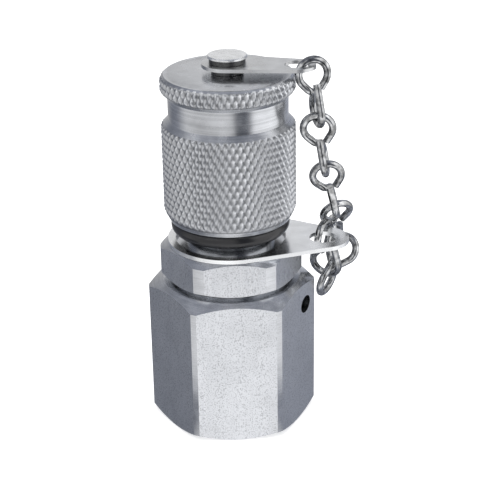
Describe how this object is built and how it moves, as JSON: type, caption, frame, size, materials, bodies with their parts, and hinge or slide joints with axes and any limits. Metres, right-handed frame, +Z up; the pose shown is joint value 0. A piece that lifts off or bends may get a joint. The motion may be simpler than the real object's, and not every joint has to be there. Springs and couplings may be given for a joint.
{
  "type": "test point coupling",
  "caption": "Hydraulic test point coupling with a hexagon swivel nut, a check valve inside and a knurled screw cap tied to it by a short chain.",
  "frame": {"origin": "centre of the swivel nut's foot, where the tube or stud goes in", "axes": "+Z up along the fitting to the cap, -Y the front seen in the picture, +X the chain's side"},
  "size_m": [0.0319, 0.0226, 0.0566],
  "materials": {
    "nut": "zinc plated, drawn flats and turned ends",
    "body": "zinc plated, turned",
    "cap": "zinc plated, knurled",
    "rivet": "zinc plated, smooth",
    "strap": "zinc plated sheet",
    "chain": "bright wire",
    "wire": "bright spring wire",
    "spring": "spring steel",
    "valve": "turned, bright",
    "black_seal": "satin black rubber"
  },
  "bodies": {
    "coupling": {"coupling_body": "body", "cap_seal_ring": "black_seal", "cone_seal_ring": "black_seal", "probe_seal_ring": "black_seal", "valve_spring": "spring", "spring_retainer": "valve"},
    "nut": {"swivel_nut": "nut", "retaining_wire": "wire"},
    "poppet": {"valve_poppet": "valve", "poppet_seal": "black_seal"},
    "rivet": {"cap_rivet": "rivet"},
    "cap": {"cap": "cap"},
    "strap": {"cap_strap": "strap"},
    "ring": {"chain_washer": "strap"},
    "link_1": {"chain_link_1": "chain"},
    "link_2": {"chain_link_2": "chain"},
    "link_3": {"chain_link_3": "chain"},
    "link_4": {"chain_link_4": "chain"},
    "link_5": {"chain_link_5": "chain"},
    "link_6": {"chain_link_6": "chain"}
  },
  "joints": [
    {"name": "nut_swivel", "type": "hinge", "parent": "coupling", "child": "nut", "pos_m": [0, 0, 0.0185], "axis": [0, 0, 1], "continuous": true},
    {"name": "valve_open", "type": "slide", "parent": "coupling", "child": "poppet", "axis": [0, 0, -1], "range_m": [0, 0.0015], "stiffness_N_per_m": 1500, "springref_m": -0.002, "deforming": ["valve_spring"]},
    {"name": "cap_lift", "type": "slide", "parent": "coupling", "child": "rivet", "axis": [0, 0, 1], "range_m": [0, 0.0027]},
    {"name": "cap_turn", "type": "hinge", "parent": "rivet", "child": "cap", "pos_m": [0, 0, 0.045], "axis": [0, 0, 1], "range_deg": [0, 490]},
    {"name": "strap_swivel", "type": "hinge", "parent": "rivet", "child": "strap", "pos_m": [0, 0, 0.055], "axis": [0, 0, 1], "continuous": true},
    {"name": "ring_swivel", "type": "hinge", "parent": "coupling", "child": "ring", "pos_m": [0, 0, 0.0285], "axis": [0, 0, 1], "continuous": true},
    {"name": "chain_sway", "type": "hinge", "parent": "strap", "child": "link_1", "pos_m": [0.01197, -0.00211, 0.0551], "axis": [0, -1, 0], "range_deg": [0, 5]},
    {"name": "link_2_sway", "type": "hinge", "parent": "link_1", "child": "link_2", "pos_m": [0.01268, -0.00179, 0.04668], "axis": [0.2442, -0.9534, -0.1773], "range_deg": [-2.8, 0.2]},
    {"name": "link_3_sway", "type": "hinge", "parent": "link_2", "child": "link_3", "pos_m": [0.01405, 0.00004, 0.03872], "axis": [-0.0507, -0.9419, -0.3319], "range_deg": [-9, 0.2]},
    {"name": "link_4_sway", "type": "hinge", "parent": "link_3", "child": "link_4", "pos_m": [0.01576, 0.00322, 0.03132], "axis": [0.1113, -0.8151, -0.5685], "range_deg": [-0.2, 6.1]},
    {"name": "link_5_sway", "type": "hinge", "parent": "link_4", "child": "link_5", "pos_m": [0.01674, 0.00534, 0.0247], "axis": [0.0251, -0.7415, 0.6705], "range_deg": [-0.1, 0.85]},
    {"name": "link_6_rise", "type": "slide", "parent": "ring", "child": "link_6", "axis": [0, 0, 1], "range_m": [0, 0.0009855]}
  ],
  "couplings": [
    {"joint": "cap_turn", "follows": "cap_lift", "rad_per_m": 3141.6},
    {"joint": "ring_swivel", "follows": "strap_swivel", "ratio": 1},
    {"joint": "link_2_sway", "follows": "chain_sway", "ratio": -0.525},
    {"joint": "link_3_sway", "follows": "chain_sway", "ratio": -1.756},
    {"joint": "link_4_sway", "follows": "chain_sway", "ratio": 1.179},
    {"joint": "link_5_sway", "follows": "chain_sway", "ratio": 0.151},
    {"joint": "link_6_rise", "follows": "cap_lift", "ratio": 0.36}
  ]
}
